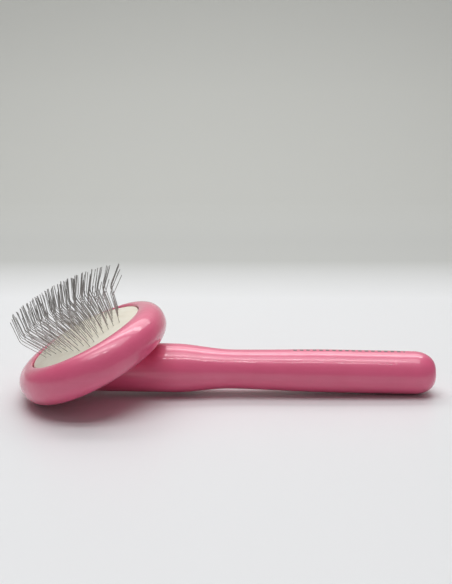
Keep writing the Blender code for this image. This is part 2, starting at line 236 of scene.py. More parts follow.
def make_object(name: str, points: Array, faces: Faces, sharp: float = 38.0) -> Object:
    """An object at the origin whose mesh is this closed skin, facing out.

    Args:
        name: the object's name.
        points: its points.
        faces: its faces, all turning the same way.
        sharp: edges that bend more than this, in degrees, stay sharp.

    Returns:
        The object, smooth shaded.
    """
    if enclosed_volume(points, faces) < 0:
        faces = [face[::-1] for face in faces]
    mesh = bpy.data.meshes.new(name)
    mesh.from_pydata(points.tolist(), [], faces)
    mesh.update()
    mesh.shade_smooth()
    mesh.set_sharp_from_angle(angle=math.radians(sharp))
    item = bpy.data.objects.new(name, mesh)
    link(item)
    return item


def cut(piece: Object, tools: list[Object], sharp: float = 38.0) -> None:
    """Take the tools' shapes out of a piece for good, and remove the tools.

    Args:
        piece: what is cut.
        tools: closed shapes to take out.
        sharp: edges that bend more than this, in degrees, stay sharp.
    """
    for tool in tools:
        modifier = piece.modifiers.new(tool.name, "BOOLEAN")
        modifier.operation = "DIFFERENCE"
        modifier.solver = "EXACT"
        modifier.object = tool
    bpy.context.view_layer.update()
    cut_mesh = bpy.data.meshes.new_from_object(piece.evaluated_get(bpy.context.evaluated_depsgraph_get()))
    piece.modifiers.clear()
    piece.data = cut_mesh
    cut_mesh.shade_smooth()
    cut_mesh.set_sharp_from_angle(angle=math.radians(sharp))
    for tool in tools:
        bpy.data.objects.remove(tool, do_unlink=True)


def dress(piece: Object, material: Material, body: str,
          nodes: list[str]) -> Object:
    """Give a new piece its finish and its place in the frame.

    Args:
        piece: the new piece.
        material: its only material.
        body: the body it moves with.
        nodes: the CAD nodes it stands for.

    Returns:
        The same piece.
    """
    piece.data.materials.clear()
    piece.data.materials.append(material)
    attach(piece, body)
    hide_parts(*nodes)
    return piece


# Finishes

class Recipe:
    """A material whose nodes are added one after another."""

    def __init__(self, name: str) -> None:
        """Start a material with its Principled shader and the object's own coordinates.

        Args:
            name: the material's name.
        """
        self.material = bpy.data.materials.new(name)
        self.material.use_nodes = True
        self.tree = self.material.node_tree
        self.shader = self.tree.nodes["Principled BSDF"]
        self.place = self.tree.nodes.new("ShaderNodeTexCoord").outputs["Object"]

    def set(self, **values: float | tuple) -> None:
        """Set the shader's own sockets, with _ for a space in a socket's name."""
        for name, value in values.items():
            self.shader.inputs[name.replace("_", " ")].default_value = value

    def add(self, kind: str, settings: dict | None = None, inputs: dict | None = None) -> bpy.types.Node:
        """Add a node.

        Args:
            kind: its type, without ShaderNode.
            settings: its attributes.
            inputs: for each socket a value or another node's output.

        Returns:
            The node.
        """
        node = self.tree.nodes.new("ShaderNode" + kind)
        for name, value in (settings or {}).items():
            setattr(node, name, value)
        for name, value in (inputs or {}).items():
            if isinstance(value, Socket):
                self.tree.links.new(value, node.inputs[name])
            else:
                node.inputs[name].default_value = value
        return node

    def mapped(self, scale: Colour, turn: Colour = (0.0, 0.0, 0.0)) -> Socket:
        """The object's coordinates, turned and then stretched."""
        turned = self.add("Mapping", None, {"Vector": self.place, "Rotation": turn})
        return self.add("Mapping", None, {"Vector": turned.outputs[0], "Scale": scale}).outputs[0]

    def noise(self, scale: float, detail: float = 2.0, place: Socket | None = None,
              rough: float = 0.5) -> Socket:
        """Noise from 0 to 1 with this many cells in a metre."""
        inputs = {"Vector": place or self.place, "Scale": scale, "Detail": detail, "Roughness": rough}
        return self.add("TexNoise", None, inputs).outputs["Fac"]

    def ranged(self, value: Socket, low: float, high: float, start: float = 0.0,
               end: float = 1.0) -> Socket:
        """A value between start and end carried over to low and high, and kept there."""
        inputs = {"Value": value, "From Min": start, "From Max": end, "To Min": low, "To Max": high}
        return self.add("MapRange", None, inputs).outputs[0]

    def math(self, kind: str, first: Socket | float,
             second: Socket | float = 0.0) -> Socket:
        """One step of arithmetic."""
        return self.add("Math", {"operation": kind}, {0: first, 1: second}).outputs[0]

    def blend(self, share: Socket, first: Colour | Socket,
              second: Colour | Socket) -> Socket:
        """Mix two colours.

        Args:
            share: from 0 to 1.
            first: the colour where share is 0.
            second: the colour where share is 1.

        Returns:
            The mixed colour.
        """
        colours = [c if isinstance(c, Socket) else (*c, 1.0) for c in (first, second)]
        node = self.add("Mix", {"data_type": "RGBA"}, {"Factor": share, 6: colours[0], 7: colours[1]})
        return node.outputs[2]

    def raised(self, height: Socket, depth: float,
               under: Socket | None = None, strength: float = 1.0) -> Socket:
        """Turn heights into a bump.

        Args:
            height: from 0 to 1.
            depth: what 1 stands for, in metres.
            under: a bump that this one lies on.
            strength: share of the bump that is kept.

        Returns:
            The bump's normal.
        """
        inputs = {"Height": height, "Distance": depth, "Strength": strength}
        if under is not None:
            inputs["Normal"] = under
        return self.add("Bump", None, inputs).outputs[0]

    def connect(self, **sources: Socket) -> Material:
        """Link sources to the shader's sockets.

        Args:
            sources: outputs by socket name, with _ for a space.

        Returns:
            The material.
        """
        for name, source in sources.items():
            self.tree.links.new(source, self.shader.inputs[name.replace("_", " ")])
        return self.material


@dataclass(frozen=True)
class Print:
    """A plain row of printed dots on the top of the handle."""

    start: float = 0.0340
    end: float = 0.0890
    pitch: float = 0.0032
    share: float = 0.55          # of the pitch, that a dot takes
    half_width: float = 0.0011
    low: float = 0.015           # nothing below this height is printed


@dataclass(frozen=True)
class Lacquer:
    """Glossy pink lacquer, sprayed over smooth wood."""

    colour: Colour = (0.820, 0.102, 0.240)
    deep: Colour = (0.780, 0.090, 0.218)
    pale: Colour = (0.840, 0.122, 0.262)
    ink: Colour = (0.060, 0.030, 0.035)
    gloss: float = 0.50
    shine: float = 0.80
    coat: float = 1.0
    coat_gloss: float = 0.06

    def material(self, name: str, marks: Print | None = None) -> Material:
        """The lacquer's material.

        Slow clouds and faint grain shift the pink a little, and orange peel and
        slow waves lie in the film.

        Args:
            name: the material's name.
            marks: a row of printed dots, if the piece has one.

        Returns:
            The material.
        """
        make = Recipe(name)
        clouds = make.ranged(make.noise(55.0, 3.0), 0.0, 1.0, 0.35, 0.65)
        grain = make.noise(1.0, 4.0, make.mapped((60.0, 900.0, 900.0)), 0.6)
        colour = make.blend(clouds, self.colour, self.deep)
        colour = make.blend(make.ranged(grain, 0.0, 0.5, 0.5, 0.75), colour, self.pale)
        if marks is not None:
            colour = make.blend(self._dots(make, marks), colour, self.ink)
        peel = make.raised(make.noise(750.0, 2.0), 0.00006, None, 0.35)
        waves = make.raised(make.noise(95.0, 2.0), 0.0006, peel, 0.16)
        make.set(Specular_IOR_Level=self.shine, Coat_Weight=self.coat, Coat_Roughness=self.coat_gloss,
                 Coat_IOR=1.5)
        gloss = make.ranged(make.noise(210.0, 3.0), self.gloss - 0.06, self.gloss + 0.08, 0.3, 0.7)
        make.tree.links.new(waves, make.shader.inputs["Coat Normal"])
        return make.connect(Base_Color=colour, Roughness=gloss, Normal=waves)

    @staticmethod
    def _dots(make: Recipe, marks: Print) -> Socket:
        """Where the dots are: x over the pitch has a small remainder, y is small and z is high.

        Args:
            make: the material's recipe.
            marks: the row of dots.

        Returns:
            1 inside a dot, 0 elsewhere.
        """
        axes = make.add("SeparateXYZ", None, {"Vector": make.place}).outputs
        step = make.math("DIVIDE", make.math("SUBTRACT", axes["X"], marks.start), marks.pitch)
        along = make.math("LESS_THAN", make.math("FRACT", step), marks.share)
        across = make.math("LESS_THAN", make.math("ABSOLUTE", axes["Y"]), marks.half_width)
        inside = make.math("MULTIPLY", make.math("GREATER_THAN", axes["X"], marks.start),
                           make.math("LESS_THAN", axes["X"], marks.end))
        high = make.math("GREATER_THAN", axes["Z"], marks.low)
        dot = make.math("MULTIPLY", along, across)
        return make.math("MULTIPLY", dot, make.math("MULTIPLY", inside, high))


@dataclass(frozen=True)
class WireSteel:
    """Drawn stainless wire with a satin skin."""

    colour: Colour = (0.56, 0.54, 0.52)
    dark: Colour = (0.33, 0.31, 0.295)
    gloss: float = 0.30

    def material(self, name: str) -> Material:
        """Satin steel, mottled along each wire.

        Args:
            name: the material's name.

        Returns:
            The material.
        """
        make = Recipe(name)
        mottle = make.ranged(make.noise(420.0, 3.0), 0.0, 1.0, 0.35, 0.7)
        colour = make.blend(mottle, self.colour, self.dark)
        gloss = make.ranged(make.noise(900.0, 2.0), self.gloss - 0.08, self.gloss + 0.12)
        lines = make.raised(make.noise(1.0, 2.0, make.mapped((9000.0, 9000.0, 900.0))), 0.00001, None, 0.4)
        make.set(Metallic=1.0)
        return make.connect(Base_Color=colour, Roughness=gloss, Normal=lines)


@dataclass(frozen=True)
class PadRubber:
    """Matt cream rubber, moulded on the cotton."""

    colour: Colour = (0.760, 0.725, 0.620)
    dusty: Colour = (0.690, 0.645, 0.530)
    gloss: float = 0.55

    def material(self, name: str) -> Material:
        """Cream rubber with a fine grain and a faint bloom.

        Args:
            name: the material's name.

        Returns:
            The material.
        """
        make = Recipe(name)
        bloom = make.ranged(make.noise(130.0, 4.0), 0.0, 1.0, 0.35, 0.75)
        specks = make.ranged(make.noise(2600.0, 1.0), 0.0, 0.35, 0.6, 0.8)
        colour = make.blend(specks, make.blend(bloom, self.colour, self.dusty), self.dusty)
        skin = make.raised(make.noise(1900.0, 2.0), 0.00004, None, 0.5)
        gloss = make.ranged(bloom, self.gloss - 0.06, self.gloss + 0.1)
        make.set(Sheen_Weight=0.05, Sheen_Roughness=0.5)
        return make.connect(Base_Color=colour, Roughness=gloss, Normal=skin)


@dataclass(frozen=True)
class WovenCotton:
    """Plain-woven cotton duck, unbleached."""

    colour: Colour = (0.70, 0.655, 0.560)
    shade: Colour = (0.46, 0.42, 0.34)
    pitch: float = 0.0007

    def material(self, name: str, tilt: float) -> Material:
        """Two sets of threads at right angles, laid in the plane of the dish.

        Args:
            name: the material's name.
            tilt: tilt of the dish, in radians.

        Returns:
            The material.
        """
        make = Recipe(name)
        flat = make.mapped((1.0, 1.0, 1.0), (0.0, tilt, 0.0))
        scale = 1.0 / (2.0 * self.pitch)
        inputs = {"Vector": flat, "Scale": scale}
        warp, weft = (make.add("TexWave", {"bands_direction": axis}, inputs).outputs["Fac"]
                      for axis in "XY")
        weave = make.math("MULTIPLY", warp, weft)
        colour = make.blend(weave, self.shade, self.colour)
        make.set(Roughness=0.9, Sheen_Weight=0.3)
        return make.connect(Base_Color=colour, Normal=make.raised(weave, 0.0002, None, 0.8))


@dataclass(frozen=True)
class OpenFoam:
    """Open-cell cushion foam, slightly yellowed."""

    colour: Colour = (0.78, 0.71, 0.53)
    # painted shade: the colour seen inside the open pores
    pore_shade: Colour = (0.42, 0.35, 0.22)
    cells: float = 1500.0

    def material(self, name: str) -> Material:
        """Foam full of small pores, each painted darker as the shade inside it.

        Args:
            name: the material's name.

        Returns:
            The material.
        """
        make = Recipe(name)
        inputs = {"Vector": make.place, "Scale": self.cells}
        distance = make.add("TexVoronoi", {"feature": "DISTANCE_TO_EDGE"}, inputs).outputs["Distance"]
        wall = make.ranged(distance, 1.0, 0.0, 0.02, 0.25)
        colour = make.blend(wall, self.pore_shade, self.colour)
        make.set(Roughness=0.95, Sheen_Weight=0.2)
        return make.connect(Base_Color=colour, Normal=make.raised(wall, 0.0003, None, 0.7))


@dataclass(frozen=True)
class ZincPlate:
    """Bright zinc on a steel screw."""

    colour: Colour = (0.70, 0.70, 0.68)
    tint: Colour = (0.58, 0.55, 0.44)

    def material(self, name: str) -> Material:
        """Plated metal with a faint yellow bloom and turning marks.

        Args:
            name: the material's name.

        Returns:
            The material.
        """
        make = Recipe(name)
        colour = make.blend(make.ranged(make.noise(500.0, 3.0), 0.0, 1.0, 0.4, 0.7), self.colour, self.tint)
        gloss = make.ranged(make.noise(1400.0, 2.0), 0.25, 0.45)
        make.set(Metallic=1.0)
        return make.connect(Base_Color=colour, Roughness=gloss,
                            Normal=make.raised(make.noise(3000.0, 1.0), 0.00002, None, 0.5))


@dataclass(frozen=True)
class RawBeech:
    """Unfinished beech with short dark flecks."""

    colour: Colour = (0.62, 0.44, 0.28)
    fleck: Colour = (0.36, 0.21, 0.11)

    def material(self, name: str, tilt: float) -> Material:
        """Beech whose grain runs along the dowels.

        Args:
            name: the material's name.
            tilt: tilt of the dish, in radians.

        Returns:
            The material.
        """
        make = Recipe(name)
        along = make.mapped((3200.0, 3200.0, 420.0), (0.0, tilt, 0.0))
        flecks = make.ranged(make.noise(1.0, 3.0, along), 0.0, 1.0, 0.55, 0.72)
        make.set(Roughness=0.7)
        return make.connect(Base_Color=make.blend(flecks, self.colour, self.fleck),
                            Normal=make.raised(flecks, 0.00005, None, 0.5))


# Places and shapes that several pieces share

@dataclass(frozen=True)
class HeadSpace:
    """The dish's own coordinates."""

    middle: tuple[float, float, float]
    tilt: float

    @classmethod
    def from_frame(cls) -> "HeadSpace":
        """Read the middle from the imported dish, and the tilt from the mount on its back.

        Returns:
            The space.
        """
        low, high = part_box("head_dish")
        mount = next(m for m in frame["record"]["mounts"] if m["name"] == "dish_back")
        return cls(tuple((low + high) / 2), math.asin(mount["axis"][0]))

    @property
    def outward(self) -> tuple[float, float, float]:
        """The direction out of the dish."""
        return (-math.sin(self.tilt), 0.0, math.cos(self.tilt))

    def world(self, u: Array, v: Array, n: Array) -> Array:
        """Points of the head in the frame's coordinates.

        x is u cos tilt less n sin tilt, y is v, and z is u sin tilt plus n cos
        tilt, all counted from the middle.

        Args:
            u: places up the tilt.
            v: places across the dish.
            n: heights out of it.

        Returns:
            The points, with the axes last.
        """
        cosine, sine = math.cos(self.tilt), math.sin(self.tilt)
        u, v, n = np.broadcast_arrays(u, v, n)
        moved = np.stack([u * cosine - n * sine, v, u * sine + n * cosine], axis=-1)
        return moved + np.array(self.middle)

    def skin(self, name: str, rings: tuple[Array, Array, Array], ends: tuple[float, float],
             sharp: float = 38.0, place: tuple[float, float] = (0.0, 0.0)) -> Object:
        """A closed skin over rings of points, with a pole at either end.

        Args:
            name: the object's name.
            rings: u, v and n of the points, with a row for a ring.
            ends: heights of the poles beside the first and the last ring.
            sharp: edges that bend more than this, in degrees, stay sharp.
            place: u and v of the poles.

        Returns:
            The object.
        """
        poles = [self.world(*place, height) for height in ends]
        return make_object(name, *closed_loft(self.world(*rings), *poles), sharp)


@dataclass(frozen=True)
class DishSizes:
    """Sizes of the oval dish, which the pad, its layers and the cushion fit."""

    rim_half_length: float = 0.0300
    rim_half_width: float = 0.0429
    rim_round: float = 0.00854
    rim_straight: float = 0.00053
    rim_crest: float = 0.00156
    floor: float = 0.0060
    lip_round: float = 0.0008      # rounding of the edge of the recess
    floor_fillet: float = 0.0004
    pad_inset: float = 0.0011
    pad_clearance: float = 0.0004
    cushion_clearance: float = 0.0006
    dome: float = 0.0060
    face: float = 0.0013
    cloth: float = 0.0012
    staple_room: float = 0.00042   # half the height left for the staples' crowns

    @property
    def height(self) -> float:
        """Half the dish's thickness, from its middle to its back or its crest."""
        return self.rim_round + self.rim_straight

    @property
    def recess(self) -> tuple[float, float]:
        """Half length and half width of the recess."""
        return self.rim_half_length - self.rim_crest, self.rim_half_width - self.rim_crest

    @property
    def recess_floor(self) -> float:
        """Height of the recess's floor."""
        return self.floor - self.height

    @property
    def face_edge(self) -> float:
        """Height of the rubber face's edge."""
        return self.height - self.pad_inset

    @property
    def cloth_edge(self) -> float:
        """Height of the cloth's edge, on its upper side."""
        return self.face_edge - self.face - GAP

    @property
    def staple_edge(self) -> float:
        """Height of the staples' crowns at the edge of the pad."""
        return self.cloth_edge - self.cloth - GAP - self.staple_room

    @property
    def cushion_edge(self) -> float:
        """Height of the cushion's edge."""
        return self.staple_edge - self.staple_room - GAP

    def rise(self, u: Array, v: Array) -> Array:
        """The dome's height over its edge: dome (1 - (u / half length)^2 - (v / half width)^2)."""
        half_u, half_v = self.recess
        return self.dome * (1.0 - (u / half_u) ** 2 - (v / half_v) ** 2)


# The wooden body

@dataclass
class FastenerHoles:
    """Holes in the wood for the screws and dowels that hold the dish."""

    head: HeadSpace
    dish: DishSizes
    clearance: float = GAP
    screws: tuple = ((0.0200, 0.0210), (-0.0030, 0.0135))    # place along u, and length
    screw_radius: float = 0.0020
    screw_head: float = 0.0040
    screw_head_depth: float = 0.0022
    screw_sink: float = 0.0002
    screw_tip: float = 0.0030
    dowel_place: float = 0.0090
    dowel_spread: float = 0.0065
    dowel_radius: float = 0.0030
    dowel_up: float = 0.0040
    dowel_down: float = 0.0100
    sectors: int = 32

    def tools(self) -> list[Object]:
        """Make a cutting tool for each hole: a profile of radii and heights turned about its axis.

        Returns:
            The tools.
        """
        made = []
        for number, (place, length) in enumerate(self.screws):
            top = self.dish.recess_floor - self.screw_sink
            wide, narrow = self.screw_head + self.clearance, self.screw_radius + self.clearance
            profile = [(wide, self.dish.height), (wide, top),
                       (narrow, top - self.screw_head_depth - self.clearance),
                       (narrow, top - length + self.screw_tip)]
            made.append(self._turned(f"screw_hole_{number}", profile, place, 0.0,
                                     self.dish.height, top - length - 2 * self.clearance))
        for side in (-1, 1):
            top = -self.dish.height + self.dowel_up + self.clearance
            bottom = -self.dish.height - self.dowel_down - self.clearance
            wide = self.dowel_radius + self.clearance
            made.append(self._turned(f"dowel_hole_{side}", [(wide, top), (wide, bottom)],
                                     self.dowel_place, side * self.dowel_spread, top, bottom))
        return made

    def _turned(self, name: str, profile: list[tuple[float, float]], u: float, v: float,
                top: float, bottom: float) -> Object:
        """A turned tool at (u, v): each ring is (u + r cos t, v + r sin t) at its height.

        Args:
            name: the tool's name.
            profile: radii and heights.
            u: place of the axis up the tilt.
            v: its place across.
            top: height of the first pole.
            bottom: height of the last one.

        Returns:
            The tool.
        """
        radius, height = (np.array(column) for column in zip(*profile))
        ring_u, ring_v = oval_rings(radius, radius, np.zeros_like(radius), self.sectors)
        rings = (u + ring_u, v + ring_v, height[:, None])
        return self.head.skin(name, rings, (top, bottom), place=(u, v))


@dataclass
class HeadDish:
    """The oval dish: a rounded rim round a recess for the pad."""

    head: HeadSpace
    sizes: DishSizes
    sectors: int = 208
    lip_steps: int = 6
    rim_steps: int = 34
    floor_steps: int = 8
    wall_steps: int = 6
    inner: float = 0.12            # share of the oval where floor and back start
    floor_end: float = 0.96        # share of it where the floor meets the fillet
    back_end: float = 0.9          # share of it where the back meets the rim

    def build(self, lacquer: Material, holes: FastenerHoles) -> Object:
        """The dish, turned round its oval from the profile, with its holes.

        The profile runs over the recess's floor, up its wall with a fillet of
        circle arcs at both ends, along the flat crest, round the rim as half a
        circle drawn out by its straight band, and back under the dish.

        Args:
            lacquer: the finish.
            holes: the fasteners' holes.

        Returns:
            The dish.
        """
        rows = np.array(self._profile())
        u, v = oval_rings(rows[:, 0], rows[:, 1], rows[:, 2], self.sectors)
        piece = self.head.skin("lacquered_dish", (u, v, rows[:, 3][:, None]),
                               (self.sizes.recess_floor, -self.sizes.height))
        cut(piece, holes.tools())
        return dress(piece, lacquer, BRUSH_BODY, ["head_dish"])

    def _profile(self) -> list[tuple[float, float, float, float]]:
        """The profile, from the floor round to the back.

        Returns:
            Rows of half length, half width, outward offset and height.
        """
        sizes = self.sizes
        wall_u, wall_v = sizes.recess
        fillet, lip = sizes.floor_fillet, sizes.lip_round
        floor, crest = sizes.recess_floor, sizes.height
        rows = [(share * wall_u, share * wall_v, 0.0, floor)
                for share in spread(self.inner, self.floor_end, self.floor_steps)]
        quarter = spread(0.0, math.pi / 2, self.lip_steps)
        rows += [(wall_u, wall_v, fillet * (math.sin(a) - 1), floor + fillet * (1 - math.cos(a)))
                 for a in quarter]
        rows += [(wall_u, wall_v, 0.0, height)
                 for height in spread(floor + fillet, crest - lip, self.wall_steps)[1:-1]]
        rows += [(wall_u, wall_v, lip * (1 - math.cos(a)), crest - lip * (1 - math.sin(a)))
                 for a in quarter]
        rim_u, rim_v = sizes.rim_half_length, sizes.rim_half_width
        for angle in spread(math.pi / 2, -math.pi / 2, self.rim_steps):
            band = sizes.rim_straight * (1 if angle > 0 else -1)
            rows.append((rim_u, rim_v, sizes.rim_round * math.cos(angle),
                         band + sizes.rim_round * math.sin(angle)))
        rows += [(share * rim_u, share * rim_v, 0.0, -crest)
                 for share in spread(self.back_end, self.inner, self.floor_steps)]
        return rows


@dataclass
class WoodenHandle:
    """The handle: an oval bar that swells, narrows and swells again to its rounded butt."""

    head: HeadSpace
    dish: DishSizes
    reach: float = 0.1685
    nose_reach: float = 0.0120
    shoulder: float = 0.0120
    neck: float = 0.0096
    grip: float = 0.01055
    shoulder_end: float = 0.0390
    neck_place: float = 0.0680
    grip_start: float = 0.1190
    oval: float = 1.15
    drop: float = math.radians(1.2)
    butt_length: float = 0.0105
    butt_round: float = 0.0070
    nose_length: float = 0.0090
    nose_round: float = 0.0070
    sectors: int = 112
    bar_steps: int = 110
    end_steps: int = 22

    def build(self, lacquer: Material, holes: FastenerHoles) -> Object:
        """The handle with its inclined seat for the dish and its holes.

        Args:
            lacquer: the finish.
            holes: the fasteners' holes.

        Returns:
            The handle.
        """
        distance = self._stations()
        rings = self._section(distance, self.radius(distance))
        ends = self._section(distance[[0, -1]], np.zeros(2))[:, 0]
        piece = make_object("lacquered_handle", *closed_loft(rings, ends[0], ends[1]))
        cut(piece, [self._seat_tool(), *holes.tools()])
        return dress(piece, lacquer, BRUSH_BODY, ["handle"])

    def radius(self, distance: Array) -> Array:
        """Half thickness this far from the dish's middle.

        Shoulder, neck and grip are joined by eased steps, and an elliptic
        rounding is taken off at the butt and at the nose.

        Args:
            distance: along the handle, from the dish's middle.

        Returns:
            The radii.
        """
        radius = self.shoulder + (self.neck - self.shoulder) * eased(
            (distance - self.shoulder_end) / (self.neck_place - self.shoulder_end))
        radius = radius + (self.grip - self.neck) * eased(
            (distance - self.neck_place) / (self.grip_start - self.neck_place))
        into_butt = np.clip((distance - self.reach + self.butt_length) / self.butt_length, 0.0, 1.0)
        into_nose = np.clip((self.nose_length - self.nose_reach - distance) / self.nose_length, 0.0, 1.0)
        radius = radius - self.butt_round * (1.0 - np.sqrt(1.0 - into_butt ** 2))
        return radius - self.nose_round * (1.0 - np.sqrt(1.0 - into_nose ** 2))

    def _stations(self) -> Array:
        """Places of the sections, closing up towards the rounded ends as a sine does.

        Returns:
            Distances from the dish's middle.
        """
        angle = spread(0.0, math.pi / 2, self.end_steps)
        nose = -self.nose_reach + self.nose_length * (1.0 - np.cos(angle))
        butt = self.reach - self.butt_length * (1.0 - np.sin(angle))
        return np.concatenate([nose, spread(nose[-1], butt[0], self.bar_steps)[1:-1], butt])

    def _section(self, distance: Array, radius: Array) -> Array:
        """Oval sections square to the sloping axis: wide by r oval cos t and high by r sin t.

        Args:
            distance: of each section from the dish's middle.
            radius: of each section.

        Returns:
            Points, as (section, sector, axis).
        """
        angle = np.arange(self.sectors) * FULL_TURN / self.sectors
        up = radius[:, None] * np.sin(angle)[None, :]
        start = self.grip + (self.reach - self.butt_length - distance) * math.tan(self.drop)
        x = self.head.middle[0] + distance[:, None] + up * math.sin(self.drop)
        y = radius[:, None] * self.oval * np.cos(angle)[None, :]
        return np.stack([x, y, start[:, None] + up * math.cos(self.drop)], axis=-1)

    def _seat_tool(self) -> Object:
        """A four-sided block that takes off what lies above the dish's back.

        Returns:
            The tool.
        """
        reach = 4.0 * self.dish.rim_half_width
        low = -self.dish.height - GAP
        heights = np.array([low + reach, low])
        u, v = oval_rings(np.full(2, reach), np.full(2, reach), np.zeros(2), 4)
        return self.head.skin("seat_tool", (u, v, heights[:, None]), (heights[0], heights[1]))


# The pad and what is in it

@dataclass
class PinField:
    """Rows of bent wire staples: two wires each, joined by a crown under the cloth."""

    head: HeadSpace
    dish: DishSizes
    rows: int = 15
    row_pitch: float = 0.0028
    pitch: float = 0.0060
    wire: float = 0.000175
    turn: float = math.radians(7.0)
    offset: float = -0.00075
    half_length: float = 0.0233
    half_width: float = 0.0370
    lower_leg: float = 0.0131
    upper_leg: float = 0.0111
    bend: float = math.radians(37.0)
    lean_middle: float = 17.0
    lean_spread: float = 22.0
    lean_rounding: float = 5.0
    fan: float = math.radians(8.0)
    knee_round: float = 0.0012
    crown_round: float = 0.0004
    tip_length: float = 0.00018
    tip_share: float = 0.55        # the tip's radius over the wire's
    hook_share: float = 0.3        # a single wire's hook over the pitch
    sharp: float = 60.0
    lean_error: float = math.radians(1.1)
    bend_error: float = math.radians(1.6)
    side_error: float = math.radians(0.9)
    length_error: float = 0.00012
    sides: int = 6
    seed: int = 5

    def build(self, steel: Material) -> list[Object]:
        """One piece for each row.

        Args:
            steel: the finish.

        Returns:
            The rows, from the front end up.
        """
        chance = np.random.default_rng(self.seed)
        made = []
        for row in range(self.rows):
            points, faces = self._row(row, chance)
            piece = make_object(f"staples_{row + 1:02d}", points, faces, self.sharp)
            made.append(dress(piece, steel, PAD_BODY, [f"pin_row_{row + 1:02d}"]))
        return made

    def row_place(self, row: int) -> float:
        """Where a row comes out of the face, across the field from its middle."""
        return (row - (self.rows - 1) / 2) * self.row_pitch

    def row_half(self, row: int) -> float:
        """Half length of a row: the field's oval at the row's place."""
        return self.half_width * math.sqrt(1.0 - (self.row_place(row) / self.half_length) ** 2)

    def row_lean(self, row: int) -> float:
        """Lean to the front end: middle less spread s less rounding s squared, in degrees."""
        share = self.row_place(row) / self.row_place(self.rows - 1)
        return math.radians(self.lean_middle - self.lean_spread * share - self.lean_rounding * share ** 2)

    def to_head(self, across: Array, along: Array) -> tuple[Array, Array]:
        """u and v of a place in the field, which is turned about n."""
        cosine, sine = math.cos(self.turn), math.sin(self.turn)
        return across * cosine - along * sine, across * sine + along * cosine

    def crown_height(self, across: Array, along: Array) -> Array:
        """Height of the crowns under the cloth."""
        return self.dish.staple_edge + self.dish.rise(*self.to_head(across, along))

    @property
    def buried(self) -> float:
        """How deep the crowns lie under the face."""
        return self.dish.face_edge - self.dish.staple_edge

    def pin_places(self, row: int) -> Array:
        """Where a row's wires stand; each second row is shifted by half a pitch.

        Args:
            row: its number from 0.

        Returns:
            Places along the row.
        """
        odd = row % 2
        shift = self.pitch / 2 if odd else 0.0
        count = int((self.row_half(row) - shift) // self.pitch)
        return shift + self.pitch * np.arange(-count - odd, count + 1)

    def bases(self, row: int, along: Array) -> Array:
        """Where wires start in their crowns, in the row's own leaning plane.

        The plane moves a point across by tan lean times its drop, and the dome
        sets the drop, so the two are met by repeating both.

        Args:
            row: its number from 0.
            along: the wires' places along it.

        Returns:
            Across, along and height of each start.
        """
        slope = math.tan(self.row_lean(row))
        middle = self.offset + self.row_place(row) + self.buried * slope
        top = self.crown_height(middle, 0.0)
        across = np.full_like(along, middle)
        for _ in range(4):
            across = middle - slope * (self.crown_height(across, along) - top)
        return np.stack([across, along, self.crown_height(across, along)], axis=-1)

    def face_places(self) -> tuple[Array, Array]:
        """Where the wires come out of the face.

        Returns:
            u and v of every wire.
        """
        found = []
        for row in range(self.rows):
            lean = self.row_lean(row)
            base = self.bases(row, self.pin_places(row))
            fan = self.fan * base[:, 1] / self.half_width
            across = base[:, 0] - math.tan(lean) * self.buried
            found.append(np.stack(self.to_head(across, base[:, 1] + self.buried * np.tan(fan)), axis=-1))
        u, v = np.concatenate(found).T
        return u, v

    def _legs(self, row: int, chance: np.random.Generator) -> Array:
        """Stations of a row's wires, from the tip down to the crown.

        A leg leans by the row's lean and fans out with its place along the row:
        (-sin lean, sin fan, cos lean cos fan).  Above the knee the lean is less
        by the bend.  The knee is rounded through a quarter of either side's
        point and half of its own.

        Args:
            row: its number from 0.
            chance: source of the small errors.

        Returns:
            Places in the field, as (wire, station, axis).
        """
        along = self.pin_places(row)
        base = self.bases(row, along)
        count = len(along)
        lean = self.row_lean(row) + chance.normal(0.0, self.lean_error, count)
        bend = self.bend + chance.normal(0.0, self.bend_error, count)
        fan = self.fan * along / self.half_width + chance.normal(0.0, self.side_error, count)
        lower = self._leg_direction(lean, fan)
        upper = self._leg_direction(lean - bend, fan)
        length = self.lower_leg + self.buried / math.cos(self.row_lean(row))
        knee = base + lower * length
        tip = knee + upper * (self.upper_leg + chance.normal(0.0, self.length_error, count))[:, None]
        above, below = knee + upper * self.knee_round, knee - lower * self.knee_round
        bent = 0.25 * above + 0.5 * knee + 0.25 * below
        shank = tip - upper * self.tip_length
        foot = base + lower * self.crown_round
        return np.stack([tip, shank, above, bent, below, foot], axis=1)

    @staticmethod
    def _leg_direction(lean: Array, fan: Array) -> Array:
        """(-sin lean, sin fan, cos lean cos fan)."""
        return unit(np.stack([-np.sin(lean), np.sin(fan), np.cos(lean) * np.cos(fan)], axis=-1))

    def _row(self, row: int, chance: np.random.Generator) -> tuple[Array, Faces]:
        """A row: wires paired into staples, and a hook where one is left over.

        Args:
            row: its number from 0.
            chance: source of the small errors.

        Returns:
            Points and faces.
        """
        legs = self._legs(row, chance)
        base = self.bases(row, self.pin_places(row))
        pairs = len(legs) // 2
        left, right = legs[0:2 * pairs:2], legs[1:2 * pairs:2]
        along = unit(base[1:2 * pairs:2] - base[0:2 * pairs:2]) * self.crown_round
        start = base[0:2 * pairs:2] + along
        end = base[1:2 * pairs:2] - along
        paths = np.concatenate([left, start[:, None], end[:, None], right[:, ::-1]], axis=1)
        taper = np.array([self.tip_share, 1.0, 1.0, 1.0, 1.0, 1.0])
        radii = self.wire * np.concatenate([taper, [1.0, 1.0], taper[::-1]])
        points, faces = tubes(self._world(paths), radii, self.sides)
        if len(legs) % 2:
            hook = base[-1:] - unit(base[-1:] - base[-2:-1]) * self.hook_share * self.pitch
            single = np.concatenate([legs[-1:], hook[:, None]], axis=1)
            more, more_faces = tubes(self._world(single), self.wire * np.append(taper, 1.0), self.sides)
            faces = faces + [[number + len(points) for number in face] for face in more_faces]
            points = np.vstack([points, more])
        return points, faces

